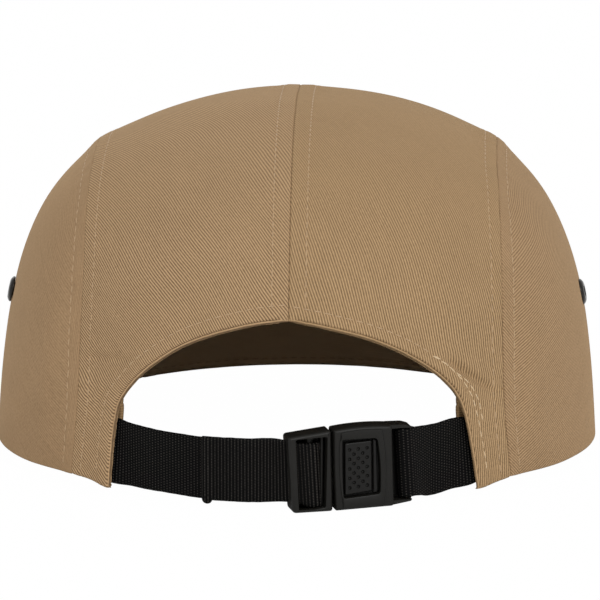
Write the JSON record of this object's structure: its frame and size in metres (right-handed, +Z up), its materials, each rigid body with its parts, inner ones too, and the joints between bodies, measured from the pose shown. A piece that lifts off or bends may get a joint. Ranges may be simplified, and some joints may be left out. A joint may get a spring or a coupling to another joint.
{
  "type": "jockey cap",
  "caption": "Low-crowned five-panel cloth jockey cap with a short arched brim, an arched rear opening and a webbing strap with a push-button buckle.",
  "frame": {"origin": "middle of the cap's footprint, on the surface it rests on", "axes": "+Z up, brim towards -Y, rear opening and strap towards +Y, the wearer's right towards -X"},
  "size_m": [0.1864, 0.2738, 0.1089],
  "materials": {
    "twill": "matte khaki cotton twill",
    "webbing": "black ribbed nylon webbing",
    "buckle_plastic": "black moulded acetal, satin",
    "eyelet_metal": "black lacquered brass"
  },
  "bodies": {
    "root": {"front_panel": "twill", "back_panel_left": "twill", "back_panel_right": "twill", "side_panel_left": "twill", "side_panel_right": "twill", "sweatband": "twill", "brim": "twill", "strap_left": "webbing", "strap_right": "webbing", "buckle_frame": "buckle_plastic", "buckle_body": "buckle_plastic", "buckle_button": "buckle_plastic", "eyelet_left": "eyelet_metal", "eyelet_right": "eyelet_metal"}
  },
  "joints": []
}
